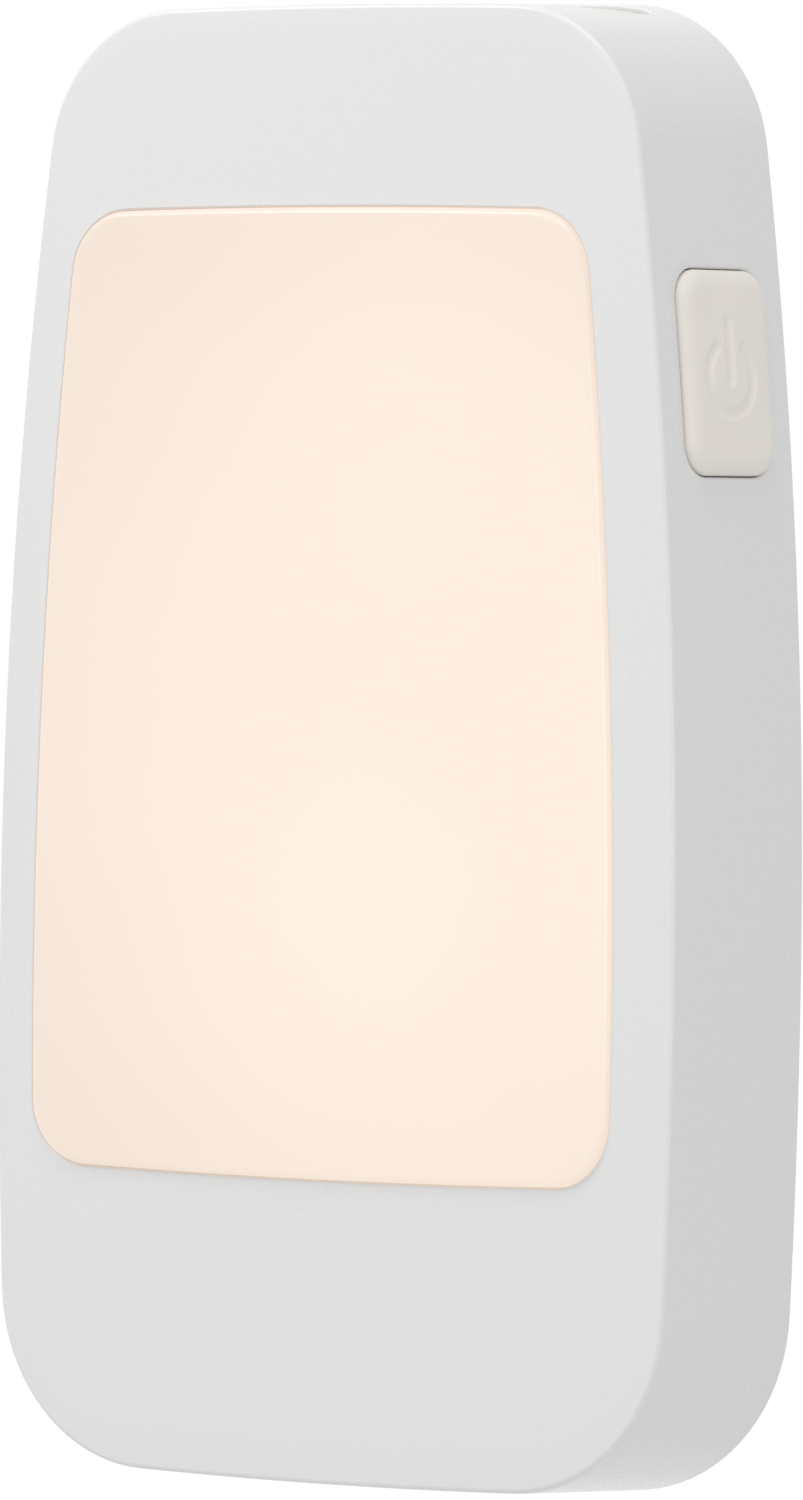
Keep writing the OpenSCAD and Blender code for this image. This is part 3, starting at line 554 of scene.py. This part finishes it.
# ---- Diffuser ----
# The lit panel is milky acrylic that drops into the window from inside, held by its flange.
# It stands half a millimetre proud, with a rounded rim that catches the light.
diffuser_gap = 0.1
diffuser_t = 2
diffuser_flange = 1.3
diffuser_flange_t = 1
diffuser_pocket = 1
diffuser_seat_gap = 0.05
panel = bmesh.new()
panel_y = front_y - diffuser_proud
flange_y = front_in_y + diffuser_seat_gap
panel_levels = []
for lean in quarter_turn:
    panel_levels.append((
        -diffuser_gap - diffuser_proud * (1 - math.sin(lean)),
        panel_y + diffuser_proud * (1 - math.cos(lean)),
    ))
panel_levels += [
    (-diffuser_gap, flange_y),
    (diffuser_flange, flange_y),
    (diffuser_flange, front_in_y + diffuser_flange_t),
    (-diffuser_gap - diffuser_pocket, front_in_y + diffuser_flange_t),
    (-diffuser_gap - diffuser_pocket, panel_y + diffuser_t),
]
panel_loops = [
    outline_loop(panel, window_outline, grow, y, diffuser_shift) for grow, y in panel_levels
]
walls_between(panel, panel_loops, into_wall)
for loop in (panel_loops[0], panel_loops[-1]):
    bmesh.ops.edgeloop_fill(panel, edges=loop)
bmesh.ops.recalc_face_normals(panel, faces=panel.faces)
diffuser = piece_from(panel, "diffuser", "housing")

# the light mixes in the tray and glows through the milk, with faint spots above and below the
# middle, and it grows more amber towards the rim
glow_high = Vector((4, panel_y, housing_middle + 24)) * MM
glow_low = Vector((2, panel_y, housing_middle - 15)) * MM
glow_wide = Vector((12, panel_y, housing_middle - 2)) * MM
spot_reach = 0.022
wide_reach = 0.08
glow_colour = (0.71, 0.58, 0.48)
glow_rim_colour = (0.57, 0.445, 0.36)
unlit_colour = (0.27, 0.27, 0.26)
milk_patches_per_metre = 60.0
milk_uneven = 0.06
acrylic, acrylic_tree, acrylic_shader = add_material("milky_acrylic")
acrylic_place = add_node(acrylic_tree, "TexCoord").outputs["Object"]


def glow_from(point, reach, strength):
    """As strong as this at the point, and fading to nought at its reach."""
    away = add_node(acrylic_tree, "VectorMath", {0: acrylic_place, 1: point}, operation="DISTANCE")
    return add_node(acrylic_tree, "MapRange", {
        "Value": away.outputs["Value"], "From Min": 0.0, "From Max": reach,
        "To Min": strength, "To Max": 0.0,
    }, interpolation_type="SMOOTHERSTEP").outputs[0]


def sum_of(tree, values, **settings):
    """All these values added up."""
    total = values[0]
    for value in values[1:]:
        total = reckon(tree, "ADD", total, value, **settings)
    return total


milk = add_node(acrylic_tree, "TexNoise", {
    "Vector": acrylic_place, "Scale": milk_patches_per_metre, "Detail": 2.0, "Roughness": 0.4,
}).outputs["Fac"]
glow = sum_of(acrylic_tree, [
    glow_from(glow_high, spot_reach, strength=0.1),
    glow_from(glow_low, spot_reach, strength=0.15),
    glow_from(glow_wide, wide_reach, strength=0.9),
    spread_over(acrylic_tree, milk, -milk_uneven, milk_uneven),
])
glow_shade = mix_colours(acrylic_tree, glow, (*glow_rim_colour, 1), (*glow_colour, 1))
acrylic_tree.links.new(glow_shade, acrylic_shader.inputs["Emission Color"])
acrylic_shader.inputs["Emission Strength"].default_value = 1
acrylic_shader.inputs["Base Color"].default_value = (*unlit_colour, 1)
acrylic_shader.inputs["Roughness"].default_value = 0.35
diffuser.data.materials.append(acrylic)


# ---- Power button ----
# An ivory silicone cap in the right side, with round edges and a slightly cushioned face. The
# on/off pictogram is sunk into it, softly, as rubber moulds. Its flange stays behind the wall,
# where a nub on it meets the switch.
button_proud = 0.8
button_edge_r = 0.8
button_roll = 1.3
button_crown = 0.12
pictogram_r = 2.65
pictogram_stroke = 0.75
pictogram_depth = 0.2
pictogram_soft = 0.25
pictogram_opening = math.radians(37)
pictogram_bar = (-0.25, 4)
pictogram_centre = (-0.2, -0.35)
cap_columns = 96
cap_rows = 144
corner_cut_degrees = 10
cut_tolerance = 1e-5
flange_t = 0.9
flange_lap = 1.2
flange_half_w = 5
flange_gap = 0.4
flange_front = -housing_wall - flange_gap
flange_back = flange_front - flange_t
nub_r = 1.5
nub_reach = 0.5
nub_sunk = 0.05
nub_aside = 0.55


def pictogram_dip(x, y):
    """How deep the pictogram is at a point: an open ring and a bar, with softly sloping sides."""
    x -= pictogram_centre[0]
    y -= pictogram_centre[1]
    turn = math.atan2(x, y)
    if abs(turn) > pictogram_opening:
        off_ring = abs(math.hypot(x, y) - pictogram_r)
    else:
        end = pictogram_opening if x > 0 else -pictogram_opening
        off_ring = math.hypot(x - pictogram_r * math.sin(end), y - pictogram_r * math.cos(end))
    off_bar = math.hypot(x, y - min(max(y, pictogram_bar[0]), pictogram_bar[1]))
    off = min(off_ring, off_bar)
    share = (pictogram_stroke / 2 + pictogram_soft - off) / (2 * pictogram_soft)
    share = min(max(share, 0), 1)
    return pictogram_depth * share * share * (3 - 2 * share)


face_half_w = button_w / 2 - button_roll
face_half_h = button_h / 2 - button_roll
face_corner = button_corner_r - button_roll
cap = bmesh.new()
bmesh.ops.create_grid(cap, x_segments=cap_columns, y_segments=cap_rows, size=1)
bmesh.ops.scale(cap, verts=cap.verts, vec=(face_half_w, face_half_h, 1))
for side in (-1, 1):
    for end in (-1, 1):
        corner = Vector((side * (face_half_w - face_corner), end * (face_half_h - face_corner), 0))
        for degrees in range(corner_cut_degrees // 2, 90, corner_cut_degrees):
            lean = math.radians(degrees)
            outward = Vector((side * math.cos(lean), end * math.sin(lean), 0))
            bmesh.ops.bisect_plane(
                cap, geom=cap.verts[:] + cap.edges[:] + cap.faces[:], dist=cut_tolerance,
                plane_co=corner + outward * face_corner, plane_no=outward, clear_outer=True,
            )
for v in cap.verts:
    rise = (1 - (v.co.x / face_half_w) ** 2) * (1 - (v.co.y / face_half_h) ** 2)
    v.co.z = button_proud - button_crown * (1 - rise) - pictogram_dip(v.co.x, v.co.y)


def ring_outwards(bm, edges, grow, height):
    """Extrudes the cap's open edge to a rounded rectangle that is grown by so much."""
    grown = bmesh.ops.extrude_edge_only(bm, edges=edges)["geom"]
    for v in (g for g in grown if isinstance(g, bmesh.types.BMVert)):
        x = min(max(v.co.x, face_corner - face_half_w), face_half_w - face_corner)
        y = min(max(v.co.y, face_corner - face_half_h), face_half_h - face_corner)
        outward = Vector((v.co.x - x, v.co.y - y)).normalized()
        v.co = (x + outward.x * (face_corner + grow), y + outward.y * (face_corner + grow), height)
    return [g for g in grown if isinstance(g, bmesh.types.BMEdge)]


def lap_over_wall(edges):
    """Moves a ring of the flange out, above and below the opening, and trims its sides."""
    for v in {v for e in edges for v in e.verts}:
        v.co.x = min(max(v.co.x, -flange_half_w), flange_half_w)
        v.co.y += math.copysign(flange_lap, v.co.y)


cap_rim = [e for e in cap.edges if e.is_boundary]
for lean in quarter_turn[1:]:
    cap_rim = ring_outwards(
        cap, cap_rim, button_roll * math.sin(lean),
        button_proud - button_crown - button_edge_r * (1 - math.cos(lean)),
    )
cap_rim = ring_outwards(cap, cap_rim, button_roll, flange_front)
cap_rim = ring_outwards(cap, cap_rim, button_roll, flange_front)
lap_over_wall(cap_rim)
cap_rim = ring_outwards(cap, cap_rim, button_roll, flange_back)
lap_over_wall(cap_rim)
bmesh.ops.edgeloop_fill(cap, edges=cap_rim)
nub = bmesh.ops.create_cone(
    cap, cap_ends=True, segments=32, radius1=nub_r, radius2=nub_r, depth=nub_reach + nub_sunk,
)["verts"]
bmesh.ops.translate(
    cap, verts=nub, vec=(nub_aside, 0, flange_back - (nub_reach - nub_sunk) / 2),
)
bmesh.ops.recalc_face_normals(cap, faces=cap.faces)
bmesh.ops.transform(cap, matrix=leaning_side, verts=cap.verts)
button = piece_from(cap, "power_button", "button")
button_ivory = (0.83, 0.785, 0.735)
button_shade = (0.79, 0.74, 0.685)
silicone, silicone_shader = moulded(
    "ivory_silicone", button_ivory, button_shade, grain=0.0002, rough=0.6,
)
silicone_shader.inputs["Sheen Weight"].default_value = 0.1
button.data.materials.append(silicone)


# ---- Rear cover, torch lens and screws ----
# The back is a flat matt cover that four screws hold, and the torch shines out through a lens in
# the top. These moulded and turned pieces keep their CAD shape, with their sharp edges broken as
# a mould or a tool leaves them.
same_face = math.radians(1)
edge_to_break = math.radians(40)
bevelled_sharp = math.radians(50)


def edges_broken(node, width, body="housing"):
    """A copy of a CAD node with its loose triangles joined and its sharp edges bevelled."""
    bm = bmesh.new()
    bm.from_mesh(frame["nodes"][node].data)
    bmesh.ops.remove_doubles(bm, verts=bm.verts, dist=weld_gap)
    bmesh.ops.dissolve_limit(
        bm, angle_limit=same_face, use_dissolve_boundaries=False, verts=bm.verts, edges=bm.edges,
    )
    edges = [e for e in bm.edges if e.is_manifold and e.calc_face_angle() > edge_to_break]
    bmesh.ops.bevel(
        bm, geom=edges, offset=width * MM, offset_type="OFFSET", segments=2, profile=0.5,
        affect="EDGES", clamp_overlap=True, material=-1,
    )
    slivers_welded(bm)
    bmesh.ops.scale(bm, verts=bm.verts, vec=(1 / MM, 1 / MM, 1 / MM))
    piece = piece_from(bm, node, body, bevelled_sharp)
    flats = piece.modifiers.new("flats_stay_flat", "WEIGHTED_NORMAL")
    flats.keep_sharp = True
    return piece


cover = edges_broken("rear_cover", 0.2)
cover_plastic, _ = moulded(
    "cover_plastic", colour=(0.72, 0.72, 0.715), shade=(0.68, 0.68, 0.675), grain=0.0006,
    depth=0.00003, rough=0.6,
)
cover.data.materials.append(cover_plastic)

lens = edges_broken("flashlight_lens", 0.2)
lens_acrylic, _ = moulded(
    "lens_acrylic", colour=(0.70, 0.685, 0.635), shade=(0.65, 0.63, 0.57), grain=0.0004,
    depth=0.000002, rough=0.25,
)
lens.data.materials.append(lens_acrylic)

# drawn or turned metal: streaks along one axis, with duller patches where fingers were
streak_stretch = 0.02
patches_per_metre = 180.0
streak_depth = 0.000002
smoother_streak = -0.1
rougher_streak = 0.12
brushed, brushed_in, brushed_out = add_group(
    "drawn_metal",
    [("Colour", (0.7, 0.7, 0.7, 1)), ("Tarnish", (0.5, 0.5, 0.5, 1)), ("Streak", 6000.0),
     ("Roughness", 0.3)],
    [("Colour", "Color"), ("Roughness", "Float"), ("Height", "Float")],
)
brushed_place = add_node(brushed, "TexCoord").outputs["Object"]
brushed_long = add_node(brushed, "Mapping", {
    "Vector": brushed_place, "Scale": (1, streak_stretch, 1),
})
brushed_streak = add_node(brushed, "TexNoise", {
    "Vector": brushed_long.outputs[0], "Scale": brushed_in.outputs["Streak"], "Detail": 2.0,
}).outputs["Fac"]
brushed_patch = add_node(brushed, "TexNoise", {
    "Vector": brushed_place, "Scale": patches_per_metre, "Detail": 4.0,
}).outputs["Fac"]
brushed_mask = add_node(brushed, "MapRange", {
    "Value": brushed_patch, "From Min": 0.45, "From Max": 0.75,
}).outputs[0]
brushed_colour = mix_colours(
    brushed, brushed_mask, brushed_in.outputs["Colour"], brushed_in.outputs["Tarnish"],
)
brushed_spread = spread_over(brushed, brushed_streak, smoother_streak, rougher_streak)
brushed_rough = reckon(brushed, "ADD", brushed_spread, brushed_in.outputs["Roughness"])
brushed.links.new(brushed_colour, brushed_out.inputs["Colour"])
brushed.links.new(brushed_rough, brushed_out.inputs["Roughness"])
brushed.links.new(brushed_streak, brushed_out.inputs["Height"])


def metal(name, colour, tarnish, streak=6000.0, rough=0.3):
    """Plated or drawn metal with fine streaks."""
    material, tree, shader = add_material(name)
    surface = add_node(tree, "Group", node_tree=brushed)
    for key, value in (("Colour", (*colour, 1)), ("Tarnish", (*tarnish, 1)),
                       ("Streak", streak), ("Roughness", rough)):
        surface.inputs[key].default_value = value
    lay_on(tree, shader, surface, streak_depth)
    shader.inputs["Metallic"].default_value = 1
    return material


screws = edges_broken("cover_screws", 0.08)
zinc = metal("zinc_plate", colour=(0.62, 0.62, 0.63), tarnish=(0.48, 0.48, 0.5))
screws.data.materials.append(zinc)
dress(["board_screws", "cradle_screws"], zinc)


# ---- Folding plug ----
# Two nickel-plated brass blades are moulded into a nylon barrel that turns in its cradle. It
# folds down into the bay in the back, and a spring leaf holds it out or folded.
nylon, _ = moulded(
    "pale_nylon", colour=(0.66, 0.66, 0.65), shade=(0.6, 0.6, 0.59), grain=0.0004,
    depth=0.00001, rough=0.5,
)
cradle = edges_broken("plug_cradle", 0.1)
cradle.data.materials.append(nylon)
carrier = edges_broken("plug_carrier", 0.15, body="plug")
carrier.data.materials.append(nylon)
plated_brass = metal(
    "nickel_plate", colour=(0.78, 0.74, 0.64), tarnish=(0.62, 0.57, 0.46), rough=0.22,
)
for blade_name in ("blade_left", "blade_right"):
    blade = edges_broken(blade_name, 0.15, body="plug")
    blade.data.materials.append(plated_brass)
bronze = metal("phosphor_bronze", colour=(0.72, 0.42, 0.24), tarnish=(0.5, 0.28, 0.16))
dress(["contact_left", "contact_right"], bronze)
spring_steel = metal("spring_steel", colour=(0.55, 0.56, 0.58), tarnish=(0.38, 0.38, 0.4))
dress(["detent_spring"], spring_steel)


# ---- Boards and what they carry ----
# Two white lamp boards and a green main board, with the mains parts on the green one. They are
# sealed in, and show only when the housing is opened.
track_w = 0.00022
track_run = 0.0052
track_pitch = 0.0016
copper_t = 0.00003


def circuit_board(name, mask, copper):
    """Solder mask over copper tracks: a net of straight runs that shows through faintly."""
    material, tree, shader = add_material(name)
    place = add_node(tree, "TexCoord").outputs["Object"]
    turned = add_node(tree, "Mapping", {
        "Vector": place, "Rotation": (math.radians(90), 0, 0),
    })
    tracks = add_node(tree, "TexBrick", {
        "Vector": turned.outputs[0], "Color1": (*mask, 1), "Color2": (*mask, 1),
        "Mortar": (*copper, 1), "Scale": 1.0, "Mortar Size": track_w, "Mortar Smooth": 0.1,
        "Brick Width": track_run, "Row Height": track_pitch,
    })
    tree.links.new(tracks.outputs["Color"], shader.inputs["Base Color"])
    bump = add_node(tree, "Bump", {"Distance": copper_t, "Height": tracks.outputs["Fac"]})
    tree.links.new(bump.outputs["Normal"], shader.inputs["Normal"])
    shader.inputs["Roughness"].default_value = 0.35
    return material


green_board = circuit_board("green_board", mask=(0.02, 0.16, 0.07), copper=(0.06, 0.28, 0.12))
dress(["main_board"], green_board)
white_board = circuit_board("white_board", mask=(0.8, 0.8, 0.78), copper=(0.7, 0.7, 0.68))
dress(["led_board", "flashlight_board"], white_board)
moulded_parts = [
    ("black_epoxy", (0.02, 0.02, 0.022), (0.035, 0.035, 0.035), 0.45,
     ["rectifier", "controller_chip", "inductor", "led_header", "tact_switch"]),
    ("yellow_case", (0.62, 0.42, 0.03), (0.55, 0.36, 0.02), 0.3, ["mains_capacitor"]),
    ("dark_sleeve", (0.02, 0.03, 0.06), (0.04, 0.05, 0.08), 0.25, ["smoothing_capacitor"]),
    ("blue_lacquer", (0.1, 0.3, 0.5), (0.08, 0.24, 0.42), 0.3, ["fuse_resistor"]),
    ("smoked_resin", (0.05, 0.04, 0.08), (0.07, 0.05, 0.1), 0.15, ["light_sensor"]),
    ("tray_plastic", (0.88, 0.88, 0.87), (0.85, 0.85, 0.84), 0.25, ["reflector_tray"]),
    ("plunger_nylon", (0.7, 0.7, 0.67), (0.64, 0.64, 0.61), 0.4, ["switch_plunger"]),
]
for finish, colour, shade, rough, parts in moulded_parts:
    plastic, _ = moulded(finish, colour, shade, rough=rough)
    dress(parts, plastic)
phosphor, phosphor_shader = moulded(
    "phosphor", colour=(0.9, 0.62, 0.16), shade=(0.85, 0.55, 0.1), grain=0.0001, rough=0.4,
)
lamp_light = (1, 0.62, 0.28)
phosphor_shader.inputs["Emission Color"].default_value = (*lamp_light, 1)
phosphor_shader.inputs["Emission Strength"].default_value = 2
dress(["night_led_upper", "night_led_lower"], phosphor)
torch_phosphor, _ = moulded(
    "torch_phosphor", colour=(0.85, 0.7, 0.25), shade=(0.8, 0.62, 0.18), grain=0.0001, rough=0.4,
)
dress(["flashlight_led"], torch_phosphor)
metallised = metal(
    "metallised", colour=(0.85, 0.85, 0.87), tarnish=(0.8, 0.8, 0.82), streak=2000.0, rough=0.12,
)
dress(["flashlight_reflector"], metallised)


# ---- Battery and leads ----
# Three small cells in shrink sleeve stand on a foam pad, welded together with nickel strip. Thin
# plastic-covered leads join them and the torch to the main board.
shrink_sleeve, _ = moulded(
    "shrink_sleeve", colour=(0.04, 0.2, 0.09), shade=(0.03, 0.15, 0.07), grain=0.0008, rough=0.3,
)
dress(["battery_cell_1", "battery_cell_2", "battery_cell_3"], shrink_sleeve)
nickel_strip = metal("nickel_strip", colour=(0.62, 0.6, 0.56), tarnish=(0.5, 0.48, 0.44))
dress(["battery_tabs"], nickel_strip)
foam, _ = moulded(
    "foam", colour=(0.03, 0.03, 0.032), shade=(0.05, 0.05, 0.05), grain=0.0005, depth=0.0001,
    rough=0.9,
)
dress(["battery_pad"], foam)
red_lead, _ = moulded("red_lead", colour=(0.5, 0.02, 0.02), shade=(0.42, 0.02, 0.02), rough=0.4)
dress(["battery_wire_red", "flashlight_wires"], red_lead)
black_lead, _ = moulded(
    "black_lead", colour=(0.02, 0.02, 0.02), shade=(0.03, 0.03, 0.03), rough=0.4,
)
dress(["battery_wire_black"], black_lead)


# ---- Floor and light ----
# A plain white floor lies well below the night light, in a white surround, and three soft lamps
# stand round it. Floor and surround look white to the eye and in gloss, and light it less.
floor_drop = 0.05
floor_half_w = 4
floor_colour = (0.72, 0.72, 0.72)
floor_lift = 0.5
floor_mesh = bmesh.new()
bmesh.ops.create_grid(floor_mesh, x_segments=1, y_segments=1, size=floor_half_w)
bmesh.ops.translate(floor_mesh, verts=floor_mesh.verts, vec=(0, 0, shell_low.z - floor_drop))
floor = bpy.data.objects.new("floor", mesh_from(floor_mesh, "floor"))
bpy.context.scene.collection.objects.link(floor)


def seen_share(tree):
    """One to the eye, in gloss and through a clear piece, and nought where only light is cast."""
    ray = add_node(tree, "LightPath").outputs
    return sum_of(
        tree, [ray["Is Camera Ray"], ray["Is Glossy Ray"], ray["Is Transmission Ray"]],
        use_clamp=True,
    )


floor_paint, floor_tree, floor_shader = add_material("floor_paint")
floor_shader.inputs["Base Color"].default_value = (*floor_colour, 1)
floor_shader.inputs["Roughness"].default_value = 0.9
floor_shader.inputs["Specular IOR Level"].default_value = 0
floor_glow = reckon(floor_tree, "MULTIPLY", seen_share(floor_tree), floor_lift)
floor_shader.inputs["Emission Color"].default_value = (1, 1, 1, 1)
floor_tree.links.new(floor_glow, floor_shader.inputs["Emission Strength"])
floor.data.materials.append(floor_paint)

ambient = 0.7
world = bpy.data.worlds.new("surround")
bpy.context.scene.world = world
world.use_nodes = True
world_tree = world.node_tree
soft_light = world_tree.nodes["Background"]
soft_light.inputs["Color"].default_value = (1, 1, 1, 1)
soft_light.inputs["Strength"].default_value = ambient
white = add_node(world_tree, "Background", {"Color": (1, 1, 1, 1), "Strength": 1.0})
surround = add_node(world_tree, "MixShader", {
    0: seen_share(world_tree), 1: soft_light.outputs[0], 2: white.outputs[0],
})
world_tree.links.new(surround.outputs[0], world_tree.nodes["World Output"].inputs["Surface"])


def soft_lamp(name, place, size, watts):
    """A square area lamp that faces the middle of the housing."""
    data = bpy.data.lights.new(name, "AREA")
    data.size = size
    data.energy = watts
    lamp = bpy.data.objects.new(name, data)
    facing = (Vector(place) - middle).to_track_quat("Z", "Y").to_matrix().to_4x4()
    lamp.matrix_world = Matrix.Translation(place) @ facing
    bpy.context.scene.collection.objects.link(lamp)


soft_lamp("key_lamp", place=(-0.24, -0.26, 0.28), size=0.15, watts=0.59)
soft_lamp("top_lamp", place=(0.05, -0.17, 0.45), size=0.15, watts=0.48)
soft_lamp("edge_lamp", place=(0.5, -0.4, 0.006), size=0.05, watts=0.54)

bpy.context.scene.view_settings.view_transform = "Standard"
